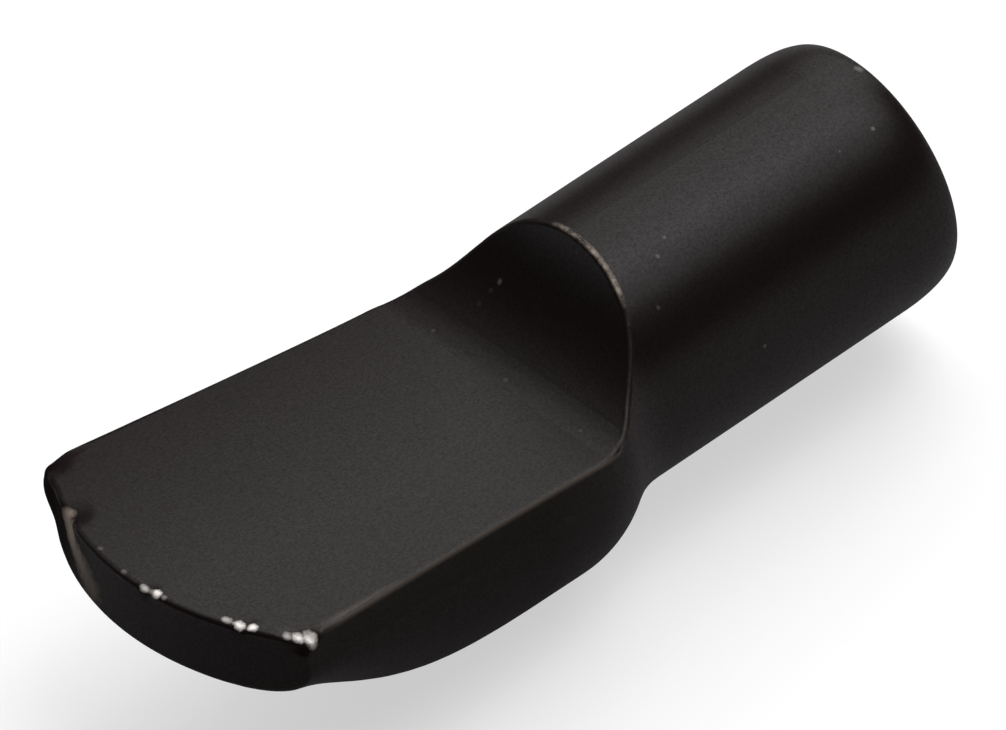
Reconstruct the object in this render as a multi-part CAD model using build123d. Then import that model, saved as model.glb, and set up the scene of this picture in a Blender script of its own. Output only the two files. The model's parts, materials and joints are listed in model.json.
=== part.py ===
import os
from math import cos, pi, radians, sin, tan

from build123d import *

# Pin: the round peg along +X that plugs into the hole in the cabinet side
pin_diameter = 5.0
pin_length = 6.33
nose_length = 1.0
nose_depth = 0.25

# Shoulder: the pin flares out to a round heel that stops against the cabinet
shoulder_diameter = 6.3
shoulder_start = 0.34
shoulder_length = 2.1
flare_share = 0.4

# Seat: the flat pressed into the top, which carries the shelf and rises towards its tip
seat_height = 0.325
seat_tilt = 7.0
wall_reach = 1.8
wall_radius = 3.45
crease_radius = 0.9

# Paddle: the part under the seat, with a keel that rises in a bow to the thin trimmed tip
tip_reach = 9.94
tip_arc_radius = 6.06
tip_half_width = 3.57
spread_power = 1.3
tip_side_height = 0.67
tip_thickness = 1.26
bow_end = 10.2
bow_power = 1.75
slice_count = 10

# Broken edge that the press and the trimming punch leave all round what they cut
edge_radius = 0.1

# How far a cut runs past the metal that it takes away
cut_overrun = 1.0

pin_radius = pin_diameter / 2
shoulder_radius = shoulder_diameter / 2
shoulder_end = shoulder_start + shoulder_length
tilt = radians(seat_tilt)
paddle_end = tip_reach + cut_overrun


def seat_at(reach):
    """Height of the seat above the pin's axis, at a distance from the cabinet's face."""
    return seat_height + tan(tilt) * reach


def keel_at(reach):
    """Height of the paddle's lowest line: level at the heel, then a smooth bow up to the thin tip."""
    share = min((reach - shoulder_end) / (bow_end - shoulder_end), 1)
    ease = (1 - cos(pi * share**bow_power)) / 2
    return ease * (seat_at(reach) - tip_thickness) - (1 - ease) * shoulder_radius


def paddle_slice(reach):
    """Upright slice of the paddle: half an ellipse below its widest line and half of one above."""
    share = (reach - shoulder_end) / (tip_reach - shoulder_end)
    spread = share**spread_power
    half_width = shoulder_radius + spread * (tip_half_width - shoulder_radius)
    widest = share * (seat_at(tip_reach) - tip_side_height)
    depth = widest - keel_at(reach)
    height = shoulder_radius + spread * tip_half_width
    plane = Plane(origin=(-reach, 0, 0), x_dir=(0, 1, 0), z_dir=(1, 0, 0))
    with BuildSketch(plane) as outline:
        with BuildLine():
            EllipticalCenterArc((0, widest), half_width, depth, 180, arc_size=180)
            EllipticalCenterArc((0, widest), half_width, height, 0, arc_size=180)
        make_face()
    return outline.sketch.face()


def make_paddle():
    """Paddle before its top is pressed flat, lofted through even slices from the round shoulder."""
    step = (paddle_end - shoulder_end) / (slice_count - 1)
    return loft([paddle_slice(shoulder_end + step * count) for count in range(slice_count)])


def make_pin():
    """Pin and shoulder, turned about the pin's axis."""
    shank_end = pin_length - nose_length
    neck = (-shoulder_start, pin_radius)
    heel = (-shoulder_end, shoulder_radius)
    turn = (-shoulder_start - flare_share * shoulder_length,
            pin_radius + flare_share * (shoulder_radius - pin_radius))
    with BuildPart() as pin:
        with BuildSketch(Plane.XZ):
            with BuildLine():
                TangentArc(neck, turn, tangent=(-1, 0))
                TangentArc(heel, turn, tangent=(1, 0))
                Polyline(heel, (-shoulder_end, 0), (pin_length, 0), (pin_length, pin_radius - nose_depth))
                EllipticalCenterArc((shank_end, pin_radius - nose_depth), nose_length, nose_depth,
                                    0, arc_size=90)
                Line((shank_end, pin_radius), neck)
            make_face()
        revolve(axis=Axis.X)
    return pin.part


def make_seat_cut():
    """What the press takes from the top: a hollow wall under an arched rim, and the sloping seat."""
    arch = (0, pin_radius)
    crease = (-wall_reach, seat_at(wall_reach))
    far = paddle_end + cut_overrun
    top = seat_at(far) + shoulder_radius + tip_half_width
    with BuildPart() as cut:
        with BuildSketch(Plane.XZ) as profile:
            with BuildLine():
                RadiusArc(crease, arch, -wall_radius)
                Polyline(arch, (0, top), (-far, top), (-far, seat_at(far)), crease)
            make_face()
            foot = profile.vertices().sort_by_distance((crease[0], 0, crease[1]))[0]
            fillet(foot, crease_radius)
        extrude(amount=top, both=True)
    return cut.part


def make_tip_trim():
    """What the trimming punch takes from the front: all that lies past the tip's arc."""
    seat_plane = Plane(origin=(0, 0, seat_height), x_dir=(-cos(tilt), 0, sin(tilt)),
                       z_dir=(sin(tilt), 0, cos(tilt)))
    with BuildPart() as trim:
        with BuildSketch(seat_plane):
            with Locations((tip_reach - tip_arc_radius, 0)):
                Rectangle(paddle_end, 2 * tip_arc_radius, align=(Align.MIN, Align.CENTER))
                Circle(tip_arc_radius, mode=Mode.SUBTRACT)
        extrude(amount=paddle_end, both=True)
    return trim.part


blank = make_pin() + make_paddle()
seat_cut = make_seat_cut()
tip_trim = make_tip_trim()
pressed = blank - seat_cut - tip_trim
support = fillet(new_edges(blank, seat_cut, tip_trim, combined=pressed), edge_radius)

os.makedirs("parts", exist_ok=True)
export_step(support, "parts/shelf_support.step")
print("volume", round(support.volume, 2), "solids", len(support.solids()), "faces", len(support.faces()))
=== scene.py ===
# %% [markdown]
# # A pressed steel shelf support
# The support is one piece of steel: a round pin that plugs into a hole in the cabinet's side, and a
# paddle pressed flat on top, on which the shelf lies. It has a thin satin black coat, rubbed bright
# on its sharpest edges, where the pale wear also paints a highlight, and chipped along the tip. The
# scene starts empty, then the CAD frame is loaded and measured, so that all that follows can be held
# against the size of the CAD.

# %% Start empty and load the frame
import json
from math import radians

import bpy
import numpy as np
from mathutils import Euler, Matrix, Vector

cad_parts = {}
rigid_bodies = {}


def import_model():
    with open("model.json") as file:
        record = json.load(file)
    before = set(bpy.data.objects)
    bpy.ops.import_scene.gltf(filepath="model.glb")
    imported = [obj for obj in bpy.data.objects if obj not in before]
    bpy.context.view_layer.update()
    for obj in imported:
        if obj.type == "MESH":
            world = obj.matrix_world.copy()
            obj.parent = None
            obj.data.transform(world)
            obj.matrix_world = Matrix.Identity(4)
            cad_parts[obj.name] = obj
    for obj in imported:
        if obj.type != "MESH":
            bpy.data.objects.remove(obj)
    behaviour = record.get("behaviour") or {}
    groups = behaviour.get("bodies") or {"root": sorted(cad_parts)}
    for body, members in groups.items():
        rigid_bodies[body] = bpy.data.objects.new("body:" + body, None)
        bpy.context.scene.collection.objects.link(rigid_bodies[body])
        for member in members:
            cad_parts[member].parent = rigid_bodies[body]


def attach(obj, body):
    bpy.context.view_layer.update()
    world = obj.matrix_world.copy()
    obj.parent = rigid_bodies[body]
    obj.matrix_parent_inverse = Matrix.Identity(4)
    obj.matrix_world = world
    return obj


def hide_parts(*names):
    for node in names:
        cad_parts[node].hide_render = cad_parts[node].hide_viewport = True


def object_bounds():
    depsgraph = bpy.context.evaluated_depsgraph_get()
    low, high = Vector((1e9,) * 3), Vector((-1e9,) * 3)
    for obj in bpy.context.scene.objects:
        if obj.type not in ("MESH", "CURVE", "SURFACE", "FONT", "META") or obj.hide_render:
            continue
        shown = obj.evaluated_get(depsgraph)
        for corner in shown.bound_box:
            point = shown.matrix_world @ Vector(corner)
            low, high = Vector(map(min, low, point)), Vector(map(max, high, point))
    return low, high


bpy.context.scene.view_settings.view_transform = "Standard"
for start_object in list(bpy.data.objects):
    bpy.data.objects.remove(start_object)
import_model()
cad_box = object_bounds()

MM = 0.001
cad_body = bpy.data.objects["shelf_support"]
print("CAD body:", len(cad_body.data.polygons), "triangles, box in mm",
      [[round(value / MM, 2) for value in corner] for corner in cad_box])

# %% [markdown]
# ## The corners of the CAD body
# Real forged steel shows no facets. The CAD body comes as triangles, but each of their corners keeps
# the exact direction of the true surface there. A subdivision modifier would round off the broken
# edges, so the corners and their directions are read out instead, to build smooth curves from them.


# %% Read the corners
def corner_values(mesh):
    """Place and surface direction of each corner of each triangle, as two arrays."""
    mesh.calc_loop_triangles()
    count = len(mesh.loop_triangles)
    corners = np.empty(count * 3, dtype=np.int32)
    mesh.loop_triangles.foreach_get("loops", corners)
    owners = np.empty(len(mesh.loops), dtype=np.int32)
    mesh.loops.foreach_get("vertex_index", owners)
    places = np.empty(len(mesh.vertices) * 3)
    mesh.vertices.foreach_get("co", places)
    directions = np.empty(len(mesh.loops) * 3)
    mesh.corner_normals.foreach_get("vector", directions)
    places = places.reshape(-1, 3)[owners[corners]].reshape(count, 3, 3)
    return places, directions.reshape(-1, 3)[corners].reshape(count, 3, 3)


corner_places, corner_directions = corner_values(cad_body.data)
print("Corners read:", len(corner_places) * 3)

# %% [markdown]
# ## The body, with smooth curves
# Three corners and three directions are enough for a small curved patch, so each triangle is split into
# smaller ones whose points lie on that patch. The outline of the pin turns round in this way, while the
# flat seat stays flat. Each new corner also keeps the surface's direction, for the shading later on.

# %% Build the curved body
SPLITS = 3


def third_of_edge(start, end, direction):
    """Control point a third of the way along an edge, laid in the surface's plane at its start."""
    lift = ((end - start) * direction).sum(axis=1, keepdims=True)
    return (2 * start + end - lift * direction) / 3


def curved_mesh(name, places, directions, splits):
    """Mesh of the curved patches over all triangles, with the surface's direction at each corner."""
    a, b, c = places.transpose(1, 0, 2)
    na, nb, nc = directions.transpose(1, 0, 2)
    ab, ba = third_of_edge(a, b, na), third_of_edge(b, a, nb)
    bc, cb = third_of_edge(b, c, nb), third_of_edge(c, b, nc)
    ca, ac = third_of_edge(c, a, nc), third_of_edge(a, c, na)
    middle = (ab + ba + bc + cb + ca + ac) / 4 - (a + b + c) / 6
    steps = [(i, j) for i in range(splits + 1) for j in range(splits + 1 - i)]
    order = {step: index for index, step in enumerate(steps)}
    points, normals = [], []
    for i, j in steps:
        u, v = i / splits, j / splits
        w = 1 - u - v
        normals.append(na * w + nb * u + nc * v)
        points.append(a * w**3 + b * u**3 + c * v**3 + 6 * middle * u * v * w
                      + 3 * (ab * w * w * u + ba * w * u * u + bc * u * u * v
                             + cb * u * v * v + ca * v * v * w + ac * w * w * v))
    cells = [(order[i, j], order[i + 1, j], order[i, j + 1])
             for i, j in steps if i + j < splits]
    cells += [(order[i + 1, j], order[i + 1, j + 1], order[i, j + 1])
              for i, j in steps if i + j < splits - 1]
    points = np.stack(points, axis=1).reshape(-1, 3)
    normals = np.stack(normals, axis=1).reshape(-1, 3)
    faces = (np.arange(len(places))[:, None, None] * len(steps) + np.array(cells)).reshape(-1, 3)
    mesh = bpy.data.meshes.new(name)
    mesh.from_pydata(points.tolist(), [], faces.tolist())
    kept = mesh.attributes.new("cad_direction", "FLOAT_VECTOR", "CORNER")
    kept.data.foreach_set("vector", normals[faces].astype(np.float32).ravel())
    return mesh


body_mesh = curved_mesh("support_body", corner_places, corner_directions, SPLITS)
body = bpy.data.objects.new("support_body", body_mesh)
bpy.context.collection.objects.link(body)
print("Curved body:", len(body_mesh.polygons), "triangles")

# %% [markdown]
# ## One closed skin
# The split triangles still lie loose beside each other. They are welded into one closed skin, over a
# very small distance, because the whole support is only sixteen millimetres long. Along a few edges the
# two sides curve a little differently and leave hair cracks. Only the points on those open edges are
# welded again, over larger and larger distances, and the last line prints how many are still open.

# %% Weld the skin
WELD = 0.001 * MM
CRACK_WELDS = (0.004 * MM, 0.01 * MM, 0.03 * MM)

bpy.ops.object.select_all(action="DESELECT")
body.select_set(True)
bpy.context.view_layer.objects.active = body
bpy.ops.object.mode_set(mode="EDIT")
bpy.ops.mesh.select_mode(type="VERT")
bpy.ops.mesh.select_all(action="SELECT")
bpy.ops.mesh.remove_doubles(threshold=WELD)
for crack_weld in CRACK_WELDS:
    bpy.ops.mesh.select_all(action="DESELECT")
    bpy.ops.mesh.select_non_manifold()
    bpy.ops.mesh.remove_doubles(threshold=crack_weld)
bpy.ops.mesh.select_all(action="DESELECT")
bpy.ops.mesh.select_non_manifold()
bpy.ops.object.mode_set(mode="OBJECT")
print("Welded body:", len(body_mesh.polygons), "triangles,",
      sum(edge.select for edge in body_mesh.edges), "open edges")

# %% [markdown]
# ## A fine grid on the tip
# The tip of the paddle is battered, and a dent needs small faces to look like one. A first cut sets the
# tip off from the rest of the body, which is then hidden, so that it keeps its larger faces. After that,
# bisect cuts the tip along even planes across each of the three axes.

# %% Cut the tip
TIP_START = -7.9 * MM
TIP_GRID = 0.12 * MM


def point_places():
    """Places of all points of the body, as an array."""
    places = np.empty(len(body_mesh.vertices) * 3)
    body_mesh.vertices.foreach_get("co", places)
    return places.reshape(-1, 3)


def select_points(chosen):
    """Opens the body in edit mode with just the chosen points selected."""
    bpy.ops.object.mode_set(mode="EDIT")
    bpy.ops.mesh.select_all(action="DESELECT")
    bpy.ops.object.mode_set(mode="OBJECT")
    body_mesh.vertices.foreach_set("select", chosen)
    bpy.ops.object.mode_set(mode="EDIT")
    bpy.ops.mesh.select_mode(type="VERT")


def cut_across(direction, start, end):
    """Cuts all visible faces along evenly spaced planes that stand across a direction."""
    for distance in np.arange(start, end, TIP_GRID):
        bpy.ops.mesh.select_all(action="SELECT")
        bpy.ops.mesh.bisect(plane_co=direction * distance, plane_no=direction, threshold=WELD)


bpy.ops.object.mode_set(mode="EDIT")
cut_across(Vector((1, 0, 0)), TIP_START, TIP_START + TIP_GRID)
bpy.ops.object.mode_set(mode="OBJECT")
select_points(point_places()[:, 0] < TIP_START + WELD)
bpy.ops.mesh.hide(unselected=True)
cut_across(Vector((1, 0, 0)), cad_box[0][0], TIP_START)
cut_across(Vector((0, 1, 0)), cad_box[0][1], cad_box[1][1])
cut_across(Vector((0, 0, 1)), cad_box[0][2], cad_box[1][2])
bpy.ops.mesh.reveal()
bpy.ops.mesh.select_all(action="SELECT")
bpy.ops.mesh.quads_convert_to_tris()
bpy.ops.object.mode_set(mode="OBJECT")
print("Body with a fine tip:", len(body_mesh.polygons), "triangles")

# %% [markdown]
# ## The battered tip
# The press rolls the corners of the tip down a little, and use has nicked its front edge. Single points
# are pulled with proportional editing, which drags the metal around them along and lets the pull fade
# out smoothly. Each pull has a place, an offset and a reach, in millimetres.

# %% Pull the metal
LEFT_BULGE = ((-8.93, 3.40, 1.00), (-0.16, 0.02, 0), 0.85)
LEFT_CORNER = ((-8.95, 3.42, 1.34), (0, 0, -0.12), 0.55)
LEFT_EDGE = ((-9.52, 2.00, 1.47), (0.05, -0.02, -0.08), 0.50)
RIGHT_CORNER = ((-8.75, -3.39, 1.38), (0.12, 0, -0.16), 0.38)
NICK_PLACES = ((-9.79, -0.55, 1.50), (-9.25, -2.40, 1.45), (-8.85, -3.10, 1.40))
NICK_OFFSET = (0.04, 0, -0.04)
NICK_REACH = 0.25


def pull_metal(place, offset, reach):
    """Pulls the point nearest to a place, and the metal within reach of it less and less."""
    distances = np.linalg.norm(point_places() - np.array(Vector(place) * MM), axis=1)
    select_points(distances == distances.min())
    bpy.ops.transform.translate(value=Vector(offset) * MM, use_proportional_edit=True,
                                proportional_size=reach * MM, proportional_edit_falloff="SMOOTH")
    bpy.ops.object.mode_set(mode="OBJECT")


before_pulls = point_places()
for pull in (LEFT_BULGE, LEFT_CORNER, LEFT_EDGE, RIGHT_CORNER):
    pull_metal(*pull)
for nick_place in NICK_PLACES:
    pull_metal(nick_place, NICK_OFFSET, NICK_REACH)
as_in_cad = np.linalg.norm(point_places() - before_pulls, axis=1) == 0
print("Points pulled:", int((~as_in_cad).sum()))

# %% [markdown]
# ## Even shading
# The exact directions of the CAD surface came along with each corner through all the cutting, so they
# become the shading normals of the new skin. Where the metal was pulled they are no longer true, and
# there Blender's own smooth normals are used. No point may leave the box of the CAD, so the places are
# clipped to it first.

# %% Set the normals
bpy.ops.object.shade_smooth()
body_mesh.vertices.foreach_set("co", np.clip(point_places(), *np.array(cad_box)).ravel())
body_mesh.update()
corner_points = np.empty(len(body_mesh.loops), dtype=np.int32)
body_mesh.loops.foreach_get("vertex_index", corner_points)
smooth_normals = np.empty(len(body_mesh.loops) * 3, dtype=np.float32)
body_mesh.corner_normals.foreach_get("vector", smooth_normals)
cad_normals = np.empty_like(smooth_normals)
body_mesh.attributes["cad_direction"].data.foreach_get("vector", cad_normals)
normals = np.where(as_in_cad[corner_points][:, None],
                   cad_normals.reshape(-1, 3), smooth_normals.reshape(-1, 3))
normals = normals / np.linalg.norm(normals, axis=1, keepdims=True)
body_mesh.normals_split_custom_set(normals.tolist())
print("Points shaded as in the CAD:", int(as_in_cad.sum()), "of", len(as_in_cad))

# %% [markdown]
# ## Helpers for the coat's nodes
# The coat is made of a few effects, such as grain, rubbed edges that also carry a painted highlight, and
# a film of oil whose sheen is painted stronger or weaker by place. Each is a shader node group with named
# sockets, so that it can be used again with other values. Small helpers keep the node code short. All
# groups measure in millimetres, in the coordinates of the object itself.


# %% Define the helpers
def add_node(tree, kind, inputs, **settings):
    """Adds a shader node; inputs go by name or number and are values or the sockets that feed them."""
    node = tree.nodes.new("ShaderNode" + kind)
    for name, value in settings.items():
        setattr(node, name, value)
    for key, value in inputs.items():
        if isinstance(value, bpy.types.NodeSocket):
            tree.links.new(value, node.inputs[key])
        else:
            node.inputs[key].default_value = value
    return node


def number(tree, operation, *values, **settings):
    """Socket with a number worked out from numbers."""
    return add_node(tree, "Math", dict(enumerate(values)), operation=operation, **settings).outputs[0]


def length(tree, operation, *vectors):
    """Socket with a number worked out from vectors, such as a length or a distance."""
    return add_node(tree, "VectorMath", dict(enumerate(vectors)), operation=operation).outputs["Value"]


def vector(tree, operation, *vectors):
    """Socket with a vector worked out from vectors."""
    return add_node(tree, "VectorMath", dict(enumerate(vectors)), operation=operation).outputs["Vector"]


def scaled(tree, place, scale):
    """Socket with a vector times a number."""
    return add_node(tree, "VectorMath", {0: place, "Scale": scale}, operation="SCALE").outputs["Vector"]


def ramp(tree, value, start, end, low=0.0, high=1.0):
    """Socket that goes from low to high while a value goes from start to end."""
    return add_node(tree, "MapRange", {"Value": value, "From Min": start, "From Max": end,
                                       "To Min": low, "To Max": high}).outputs[0]


def cloudy(tree, place, density, detail, roughness):
    """Socket with cloudy noise; its density counts the blots in a millimetre."""
    return add_node(tree, "TexNoise", {"Vector": place, "Scale": density, "Detail": detail,
                                       "Roughness": roughness}).outputs["Fac"]


def in_millimetres(tree):
    """Socket with the object's own coordinates in millimetres."""
    return scaled(tree, add_node(tree, "TexCoord", {}).outputs["Object"], 1 / MM)


def new_group(name, inputs, outputs):
    """Adds a shader node group with these sockets; returns its tree, its input and its output node."""
    tree = bpy.data.node_groups.new(name, "ShaderNodeTree")
    for socket, value in inputs.items():
        kind = "NodeSocketVector" if isinstance(value, tuple) else "NodeSocketFloat"
        tree.interface.new_socket(socket, in_out="INPUT", socket_type=kind).default_value = value
    for socket in outputs:
        tree.interface.new_socket(socket, in_out="OUTPUT", socket_type="NodeSocketFloat")
    return tree, tree.nodes.new("NodeGroupInput").outputs, tree.nodes.new("NodeGroupOutput").inputs


def use_group(tree, group, **inputs):
    """Adds a node group to a material or another group; inputs are given by socket name."""
    node = tree.nodes.new("ShaderNodeGroup")
    node.node_tree = group
    for name, value in inputs.items():
        node.inputs[name].default_value = value
    return node


print("Node groups so far:", len(bpy.data.node_groups))

# %% [markdown]
# ## Grain
# A blackened steel skin is not quite even. It has a grain of fine bumps, which breaks up the sheen, and
# larger cloudy changes of tone. Both are noise: the grain has blots of a twentieth of a millimetre, and
# the clouds are about a millimetre wide.

# %% Make the grain
GRAIN_SIZE = 0.05
GRAIN_DETAIL = 3.0
CLOUD_DENSITY = 0.9
CLOUD_DETAIL = 4.0
GRAIN_ROUGHNESS = 0.6


def make_grain():
    """Fine grain of the blackened skin: small bumps, and larger cloudy changes of tone."""
    tree, given, result = new_group("coat_grain", {"Size": GRAIN_SIZE}, ["Height", "Clouds"])
    place = in_millimetres(tree)
    density = number(tree, "DIVIDE", 1.0, given["Size"])
    fine = cloudy(tree, place, density, GRAIN_DETAIL, GRAIN_ROUGHNESS)
    clouds = cloudy(tree, place, CLOUD_DENSITY, CLOUD_DETAIL, GRAIN_ROUGHNESS)
    tree.links.new(fine, result["Height"])
    tree.links.new(clouds, result["Clouds"])
    return tree


coat_grain = make_grain()
print("Node group:", coat_grain.name, "with", len(coat_grain.nodes), "nodes")

# %% [markdown]
# ## Depth below the pressed top
# Wear with its painted highlight, and the painted sheen of the oil, follow the edges around what the
# press cut: the sloping seat and the hollow wall. A mask painted on faces would show their triangles, so
# the depth below those two surfaces is worked out from the place alone. The wall is part of a cylinder
# that lies across the support, and only its side towards the pin counts.

# %% Make the depth
SEAT_SLOPE = (0.1228, 0, 1)
SEAT_HEIGHT = 0.325
WALL_AXIS = (-3.242, 0, 3.680)
WALL_RADIUS = 3.45


def make_pressed_depth():
    """Depth below what the press cut on top: the sloping seat, and the hollow wall around its axis."""
    tree, given, result = new_group("pressed_depth", {"Seat Slope": SEAT_SLOPE, "Seat Height": SEAT_HEIGHT,
                                                      "Wall Axis": WALL_AXIS, "Wall Radius": WALL_RADIUS},
                                    ["Depth"])
    place = in_millimetres(tree)
    height = length(tree, "DOT_PRODUCT", place, given["Seat Slope"])
    seat = number(tree, "SUBTRACT", given["Seat Height"], height)
    offset = add_node(tree, "SeparateXYZ", {0: vector(tree, "SUBTRACT", place, given["Wall Axis"])}).outputs
    towards_pin = number(tree, "MAXIMUM", offset["X"], 0.0)
    offset = add_node(tree, "CombineXYZ", {"X": towards_pin, "Z": offset["Z"]}).outputs["Vector"]
    wall = number(tree, "SUBTRACT", length(tree, "LENGTH", offset), given["Wall Radius"])
    tree.links.new(number(tree, "MAXIMUM", seat, wall), result["Depth"])
    return tree


pressed_depth = make_pressed_depth()
print("Node group:", pressed_depth.name, "with", len(pressed_depth.nodes), "nodes")

# %% [markdown]
# ## Rubbed edges and a painted highlight
# Shelves and fingers rub the coat off the edges around the pressed top. The same pale mask also paints
# the highlight that the light leaves along those edges. The arched rim stands proud, so it is worn and
# lit most, in patches that noise breaks up. The seat's near edge has a faint line, partly wear and partly
# painted highlight, and the tip has none, because its wear is in chips. A mask from the depth keeps the
# line even along the edge. In each pair of values below, the first is where an effect is nought and the
# second where it is whole.

# %% Make the rubbed edges and their painted highlight
# The pale edge mask stands for worn metal and also paints a highlight along the rim and the seat's edge.
SEAT_RUB_AND_HIGHLIGHT = 0.13
WALL_RUB_AND_HIGHLIGHT = 0.012
RIM_HEIGHT = 2.04
TIP_CENTRE = (-3.9, 0, 0.8)
RUB_AND_HIGHLIGHT_TOP_DEPTHS = (0.004, 0.03)
RUB_AND_HIGHLIGHT_LOW_DEPTHS = (0.10, 0.04)
ABOVE_RIM = (-0.15, 0.1)
WALL_TO_SEAT = (-1.2, -2.2)
TIP_RADII = (5.80, 5.3)
NEAR_SIDE = (0.5, 0.1)
PATCH_DENSITY = 3.0
PATCH_DETAIL = 5.0
PATCH_ROUGHNESS = 0.7
PATCH_NOISE = (0.40, 0.64)
PATCH_LEAST = 0.05


def make_rubbed_and_highlit_edges():
    """Worn edges and a painted highlight around the pressed top: patchy on the rim, none at the tip."""
    tree, given, result = new_group("rubbed_and_highlit_edges", {"Seat Rub And Highlight": SEAT_RUB_AND_HIGHLIGHT, "Wall Rub And Highlight": WALL_RUB_AND_HIGHLIGHT,
                                                 "Rim Height": RIM_HEIGHT, "Tip Centre": TIP_CENTRE},
                                    ["Mask"])
    place = in_millimetres(tree)
    sides = add_node(tree, "SeparateXYZ", {0: place}).outputs
    depth = use_group(tree, pressed_depth).outputs["Depth"]
    noise = cloudy(tree, place, PATCH_DENSITY, PATCH_DETAIL, PATCH_ROUGHNESS)
    patchy = ramp(tree, noise, *PATCH_NOISE, low=PATCH_LEAST)
    # The seat's line and the rim's patches are wear and painted highlight together.
    line = ramp(tree, sides["X"], *WALL_TO_SEAT, low=given["Wall Rub And Highlight"], high=given["Seat Rub And Highlight"])
    above = number(tree, "SUBTRACT", sides["Z"], given["Rim Height"])
    reach = length(tree, "DISTANCE", place, given["Tip Centre"])
    shares = (ramp(tree, depth, *RUB_AND_HIGHLIGHT_LOW_DEPTHS),
              ramp(tree, above, *ABOVE_RIM, low=line, high=patchy),
              ramp(tree, reach, *TIP_RADII),
              ramp(tree, sides["Y"], *NEAR_SIDE))
    rubbed_and_highlit = ramp(tree, depth, *RUB_AND_HIGHLIGHT_TOP_DEPTHS)
    for share in shares:
        rubbed_and_highlit = number(tree, "MULTIPLY", rubbed_and_highlit, share)
    tree.links.new(rubbed_and_highlit, result["Mask"])
    return tree


rubbed_and_highlit_edges = make_rubbed_and_highlit_edges()
print("Node group:", rubbed_and_highlit_edges.name, "with", len(rubbed_and_highlit_edges.nodes), "nodes")

# %% [markdown]
# ## The film of oil, with painted sheen and shade
# Blackened steel is oiled, and the thin film gives the satin sheen. Its weight changes from place to
# place as painted light: a stronger painted sheen on the near side, painted shade low down and on the
# hull, and the deepest painted shade at the tip's left end. The seat keeps the whole film, so the depth
# below the pressed top tells where the other shares begin. Each pair of values says where a change
# begins and where it ends.

# %% Make the film and its painted sheen
# Weights of the film by place are painted sheen, and painted shade low down, on the hull and at the tip.
FAR_SIDE_SHEEN = 0.17
NEAR_SIDE_SHEEN = 0.30
SHEEN_SIDES = (3.0, -1.0)
LOW_SHARE = 0.5
LOW_HEIGHTS = (2.3, -1.5)
HULL_SHARE = 0.5
HULL_PLACES = (-1.0, -3.5)
SHADED_END_SHARE = 0.1
SHADED_END_PLACE = (-9.3, 3.0, 1.0)
SHADED_END_RADII = (0.8, 2.2)
HULL_DEPTHS = (0.02, 0.12)


def make_oil_and_painted_sheen():
    """Painted sheen weight: high on the near side, lower low down and on the hull, least at the shaded end.
    """
    tree, given, result = new_group("oil_and_painted_sheen", {"Far Side Sheen": FAR_SIDE_SHEEN, "Near Side Sheen": NEAR_SIDE_SHEEN,
                                                 "Low Share": LOW_SHARE, "Hull Share": HULL_SHARE,
                                                 "Shaded End Share": SHADED_END_SHARE, "Shaded End Place": SHADED_END_PLACE},
                                    ["Weight"])
    place = in_millimetres(tree)
    sides = add_node(tree, "SeparateXYZ", {0: place}).outputs
    depth = use_group(tree, pressed_depth).outputs["Depth"]
    # Painted sheen: the film is weighted up on the near side.
    side_sheen = ramp(tree, sides["Y"], *SHEEN_SIDES, low=given["Far Side Sheen"], high=given["Near Side Sheen"])
    # Painted shade: less film low down, on the hull, and least at the tip's left end.
    low = ramp(tree, sides["Z"], *LOW_HEIGHTS, low=1.0, high=given["Low Share"])
    away = length(tree, "DISTANCE", place, given["Shaded End Place"])
    hull = ramp(tree, away, *SHADED_END_RADII, low=given["Shaded End Share"], high=given["Hull Share"])
    off_pin = ramp(tree, sides["X"], *HULL_PLACES, low=1.0, high=hull)
    below = number(tree, "MULTIPLY", low, off_pin)
    share = ramp(tree, depth, *HULL_DEPTHS, low=1.0, high=below)
    tree.links.new(number(tree, "MULTIPLY", side_sheen, share), result["Weight"])
    return tree


oil_and_painted_sheen = make_oil_and_painted_sheen()
print("Node group:", oil_and_painted_sheen.name, "with", len(oil_and_painted_sheen.nodes), "nodes")

# %% [markdown]
# ## Spots and a streak
# Chips and specks are small spots, with an edge that noise makes ragged. The front of the tip also has a
# rubbed streak at its left end. It is a mask of its own, around a straight run, because a row of spots
# would show as a row of spots from the other side. The streak gets wider and fainter as it goes down.

# %% Make the spots and the streak
SPOT_DENSITY = 12.0
SPOT_DETAIL = 1.0
SPOT_ROUGHNESS = 0.5
SPOT_RAGGED = 0.6
SPOT_EDGE = (1.3, 0.65)
STREAK_DENSITY = 6.0
STREAK_DETAIL = 4.0
STREAK_ROUGHNESS = 0.7
STREAK_RAGGED = 1.2
STREAK_EDGE = (1.7, 0.9)


def make_bare_spot():
    """Mask of one ragged spot around a place, longer along the Y axis where asked."""
    tree, given, result = new_group("bare_spot", {"Place": (0, 0, 0), "Radius": 0.1, "Stretch": 1.0,
                                                  "Strength": 1.0}, ["Mask"])
    place = in_millimetres(tree)
    squeeze = number(tree, "DIVIDE", 1.0, given["Stretch"])
    squeeze = add_node(tree, "CombineXYZ", {"X": 1.0, "Y": squeeze, "Z": 1.0}).outputs["Vector"]
    offset = vector(tree, "MULTIPLY", vector(tree, "SUBTRACT", place, given["Place"]), squeeze)
    share = number(tree, "DIVIDE", length(tree, "LENGTH", offset), given["Radius"])
    noise = cloudy(tree, place, SPOT_DENSITY, SPOT_DETAIL, SPOT_ROUGHNESS)
    share = number(tree, "MULTIPLY_ADD", noise, SPOT_RAGGED, share)
    tree.links.new(ramp(tree, share, *SPOT_EDGE, high=given["Strength"]), result["Mask"])
    return tree


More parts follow.
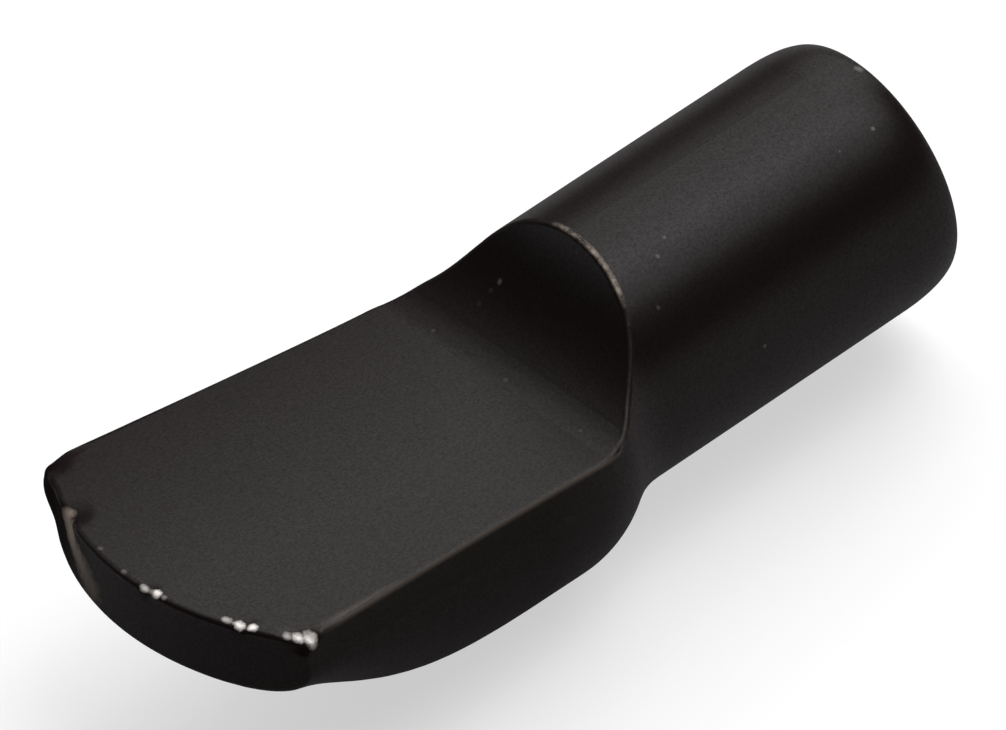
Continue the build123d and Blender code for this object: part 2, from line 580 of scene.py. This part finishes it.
def make_worn_streak():
    """Mask of one ragged streak along a straight run, which gets wider and fainter towards its end."""
    tree, given, result = new_group("worn_streak", {"Start": (0, 0, 0), "Run": (1, 0, 0),
                                                    "Start Radius": 0.2, "End Radius": 0.4,
                                                    "Start Strength": 0.7, "End Strength": 0.2}, ["Mask"])
    place = in_millimetres(tree)
    offset = vector(tree, "SUBTRACT", place, given["Start"])
    along = length(tree, "DOT_PRODUCT", offset, given["Run"])
    whole = length(tree, "DOT_PRODUCT", given["Run"], given["Run"])
    along = number(tree, "DIVIDE", along, whole, use_clamp=True)
    away = length(tree, "DISTANCE", offset, scaled(tree, given["Run"], along))
    radius = ramp(tree, along, 0.0, 1.0, low=given["Start Radius"], high=given["End Radius"])
    strength = ramp(tree, along, 0.0, 1.0, low=given["Start Strength"], high=given["End Strength"])
    noise = cloudy(tree, place, STREAK_DENSITY, STREAK_DETAIL, STREAK_ROUGHNESS)
    share = number(tree, "MULTIPLY_ADD", noise, STREAK_RAGGED, number(tree, "DIVIDE", away, radius))
    tree.links.new(ramp(tree, share, *STREAK_EDGE, high=strength), result["Mask"])
    return tree


bare_spot = make_bare_spot()
worn_streak = make_worn_streak()
print("Node groups:", [group.name for group in bpy.data.node_groups])

# %% [markdown]
# ## Where the wear is
# The chips sit in three groups on the tip's front edge, and are stretched along it. A few rubs lie on
# the crease at the seat's inner end, and a few specks on the wall and the pin. They are listed one by one.
# Each spot has a place and a radius in millimetres, and a strength. The streak has a start and a run.

# %% List the spots
CHIP_STRETCH = 1.3
STREAK_START = (-9.50, 2.10, 1.32)
STREAK_RUN = (-0.37, -0.92, -0.66)
MIDDLE_CHIPS = [((-9.80, -0.49, 1.51), 0.095, 0.8), ((-9.74, -0.76, 1.51), 0.10, 1.0),
                ((-9.77, -0.62, 1.51), 0.07, 0.3), ((-9.72, -0.93, 1.51), 0.06, 0.2),
                ((-9.78, 0.08, 1.52), 0.06, 0.10), ((-9.68, 0.85, 1.52), 0.06, 0.06)]
RIGHT_CHIPS = [((-9.35, -2.12, 1.47), 0.09, 0.4), ((-9.27, -2.37, 1.46), 0.11, 1.0),
               ((-9.16, -2.57, 1.45), 0.10, 1.0)]
CORNER_CHIPS = [((-8.86, -3.12, 1.41), 0.10, 0.4), ((-8.74, -3.25, 1.35), 0.12, 1.0),
                ((-8.60, -3.36, 1.31), 0.14, 1.0), ((-8.63, -3.42, 1.20), 0.10, 0.3)]
CREASE_RUBS = [((-1.9, 1.80, 0.58), 0.05, 0.06), ((-1.9, -0.15, 0.58), 0.06, 0.06),
               ((-1.9, -2.13, 0.58), 0.05, 0.06)]
WALL_SPECKS = [((-0.78, 1.20, 1.27), 0.07, 0.08), ((-0.93, 1.29, 1.12), 0.06, 0.015),
               ((-1.16, 1.37, 0.93), 0.06, 0.015)]
PIN_SPECKS = [((1.16, -1.09, 2.25), 0.045, 0.08), ((0.83, -1.27, 2.15), 0.05, 0.08),
              ((0.28, -1.84, 1.69), 0.05, 0.04), ((5.50, -1.45, 2.03), 0.05, 0.12),
              ((4.73, -1.46, 2.03), 0.035, 0.06), ((1.82, -2.49, 0.17), 0.05, 0.08),
              ((6.18, -0.38, 2.35), 0.11, 0.10)]
TIP_CHIPS = MIDDLE_CHIPS + RIGHT_CHIPS + CORNER_CHIPS
SPECKS = WALL_SPECKS + PIN_SPECKS


def add_spots(tree, mask, spots, stretch=1.0):
    """Adds spots of place, radius and strength to a mask."""
    for place, radius, strength in spots:
        spot = use_group(tree, bare_spot, Place=place, Radius=radius, Stretch=stretch, Strength=strength)
        mask = number(tree, "MAXIMUM", mask, spot.outputs["Mask"])
    return mask


print("Spots:", len(TIP_CHIPS), "chips,", len(CREASE_RUBS), "rubs and", len(SPECKS), "specks")

# %% [markdown]
# ## The satin black coat
# Cheap supports are blackened and then lightly oiled, which gives a nearly black satin skin. It
# scatters little light of its own and has no gloss without the oil, so the look comes from the film,
# made with the shader's coat; how strong the film is, place by place, is painted sheen and shade.
# Rubbed edges show a dull warm grey, which also paints a highlight along the rim and the seat's edge,
# and chips and specks show pale bare steel. One material holds all the masks, because the coat is one
# skin over one piece.

# %% Make the coat
COAT_COLOUR = (0.0056, 0.0029, 0.0028, 1)
CLOUD_COLOUR = (0.0082, 0.0046, 0.0043, 1)
# This pale grey is worn metal and also the painted highlight on the rim and the seat's edge.
RUBBED_AND_HIGHLIT_COLOUR = (0.46, 0.38, 0.32, 1)
BARE_COLOUR = (0.85, 0.80, 0.76, 1)
COAT_SPECULAR = 0.0
COAT_ROUGHNESS = 0.5
OIL_ROUGHNESS = 0.36
OIL_GRAIN = 0.3
OIL_GRAIN_HEIGHTS = (0.3, 0.7)
BUMP_STRENGTH = 0.3
BUMP_HEIGHT = 0.01 * MM


def blend_colours(tree, share, first, second):
    """Socket with a blend of two colours, which are inputs 6 and 7 of the Mix node."""
    return add_node(tree, "Mix", {"Factor": share, 6: first, 7: second}, data_type="RGBA").outputs[2]


def make_coat():
    """Satin black coat: grain, a sheen painted by place, worn edges with a painted highlight, bare spots.
    """
    coat = bpy.data.materials.new("worn_black_coat_with_painted_light")
    coat.use_nodes = True
    tree = coat.node_tree
    shader = tree.nodes["Principled BSDF"].inputs
    shader["Specular IOR Level"].default_value = COAT_SPECULAR
    shader["Roughness"].default_value = COAT_ROUGHNESS
    shader["Coat Roughness"].default_value = OIL_ROUGHNESS
    grain = use_group(tree, coat_grain, Size=GRAIN_SIZE).outputs
    streak = use_group(tree, worn_streak, Start=STREAK_START, Run=STREAK_RUN).outputs["Mask"]
    rub_and_highlight_mask = number(tree, "MAXIMUM", use_group(tree, rubbed_and_highlit_edges).outputs["Mask"], streak)
    rub_and_highlight_mask = add_spots(tree, rub_and_highlight_mask, CREASE_RUBS)
    bare = add_spots(tree, 0.0, TIP_CHIPS, CHIP_STRETCH)
    bare = add_spots(tree, bare, SPECKS)
    colour = blend_colours(tree, grain["Clouds"], COAT_COLOUR, CLOUD_COLOUR)
    # Worn edges, with their painted highlight, blend to the pale grey.
    colour = blend_colours(tree, rub_and_highlight_mask, colour, RUBBED_AND_HIGHLIT_COLOUR)
    colour = blend_colours(tree, bare, colour, BARE_COLOUR)
    tree.links.new(colour, shader["Base Color"])
    uneven = ramp(tree, grain["Height"], *OIL_GRAIN_HEIGHTS, low=1 - OIL_GRAIN, high=1 + OIL_GRAIN)
    # The film's weight carries the painted sheen and shade into the coat.
    oil_and_painted_sheen_weight = number(tree, "MULTIPLY", use_group(tree, oil_and_painted_sheen).outputs["Weight"], uneven)
    tree.links.new(oil_and_painted_sheen_weight, shader["Coat Weight"])
    bump = add_node(tree, "Bump", {"Height": grain["Height"], "Strength": BUMP_STRENGTH,
                                   "Distance": BUMP_HEIGHT})
    tree.links.new(bump.outputs["Normal"], shader["Normal"])
    return coat


body_mesh.materials.append(make_coat())
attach(body, "root")
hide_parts("shelf_support")
print("Coat:", len(body_mesh.materials[0].node_tree.nodes), "nodes")

# %% [markdown]
# ## Floor
# The support lies on white paper. The paper shines a little of its own for camera, gloss and glass
# rays, which keeps it white around a soft shadow. Its colour and its glow add up to plain white.

# %% Lay the paper
PAPER_COLOUR = (0.42, 0.42, 0.42, 1)
PAPER_GLOW = 0.58
GLOW_COLOUR = (1, 1, 1, 1)
FLOOR_WIDTH = 4

bpy.ops.object.select_all(action="DESELECT")
bpy.ops.mesh.primitive_plane_add(size=FLOOR_WIDTH, location=(0, 0, cad_box[0][2]))
floor = bpy.context.object
floor.name = "paper_floor"
paper = bpy.data.materials.new("white_paper")
paper.use_nodes = True
paper_tree = paper.node_tree
paper_shader = paper_tree.nodes["Principled BSDF"].inputs
paper_shader["Base Color"].default_value = PAPER_COLOUR
paper_shader["Specular IOR Level"].default_value = 0
paper_shader["Emission Color"].default_value = GLOW_COLOUR
rays = add_node(paper_tree, "LightPath", {}).outputs
seen = number(paper_tree, "MAXIMUM", rays["Is Camera Ray"], rays["Is Glossy Ray"])
seen = number(paper_tree, "MAXIMUM", seen, rays["Is Transmission Ray"])
paper_tree.links.new(number(paper_tree, "MULTIPLY", seen, PAPER_GLOW), paper_shader["Emission Strength"])
floor.data.materials.append(paper)
print("Floor at", round(floor.location.z / MM, 2), "mm")

# %% [markdown]
# ## Lamps
# Soft lamps stand high on the right and behind, as the camera sees it, which gives the broad sheen on
# the seat and on the top of the pin. Nothing bright stands in front or on the left, so those sides fall
# to black. Each lamp has an azimuth, counted from +X towards +Y, and an elevation, both in degrees, and
# a power in watts.

# %% Set the lamps
ROOM_COLOUR = (0.08, 0.08, 0.08, 1)
LAMP_DISTANCE = 300 * MM
LAMP_WIDTH = 210 * MM
LAMPS = {"right_lamp": (-40, 62, 0.44), "pin_lamp": (10, 62, 0.34), "top_lamp": (60, 62, 0.16),
         "seat_lamp": (37, 32, 0.33), "wall_lamp": (97, 40, 0.16)}


def add_soft_lamp(name, azimuth, elevation, power):
    """Square area lamp that looks at the support."""
    lamp = bpy.data.objects.new(name, bpy.data.lights.new(name, "AREA"))
    lamp.data.size = LAMP_WIDTH
    lamp.data.energy = power
    away = Vector((1, 0, 0))
    away.rotate(Euler((0, -radians(elevation), radians(azimuth))))
    lamp.location = away * LAMP_DISTANCE
    lamp.rotation_euler = away.to_track_quat("Z", "Y").to_euler()
    bpy.context.collection.objects.link(lamp)


world = bpy.data.worlds.new("dim_room")
bpy.context.scene.world = world
world.use_nodes = True
world.node_tree.nodes["Background"].inputs["Color"].default_value = ROOM_COLOUR
for lamp_name, lamp_values in LAMPS.items():
    add_soft_lamp(lamp_name, *lamp_values)
print("Lamps:", len(LAMPS), "with", round(sum(power for *_, power in LAMPS.values()), 2), "W")

# %% [markdown]
# ## Camera
# The photo was taken from far off with a long lens, from the tip's end and about forty degrees above,
# with the camera slightly tilted. These values were found by fitting the CAD to the photo.

# %% Set the camera
VIEW_AIM = Vector((-1.292, 0.800, -0.039)) * MM
VIEW_AZIMUTH = radians(-32.315)
VIEW_ELEVATION = radians(39.947)
VIEW_ROLL = radians(-11.346)
VIEW_DISTANCE = 166.68 * MM
VIEW_LENS = 351.54
VIEW_START = 10 * MM

camera = bpy.data.objects.new("photo_camera", bpy.data.cameras.new("photo_camera"))
bpy.context.collection.objects.link(camera)
turn = Euler((radians(90) - VIEW_ELEVATION, 0, VIEW_AZIMUTH)).to_matrix()
turn = turn @ Euler((0, 0, VIEW_ROLL)).to_matrix()
camera.rotation_euler = turn.to_euler()
camera.location = VIEW_AIM + turn @ Vector((0, 0, VIEW_DISTANCE))
camera.data.lens = VIEW_LENS
camera.data.clip_start = VIEW_START
bpy.context.scene.camera = camera
print("Camera at mm", [round(value / MM, 1) for value in camera.location])
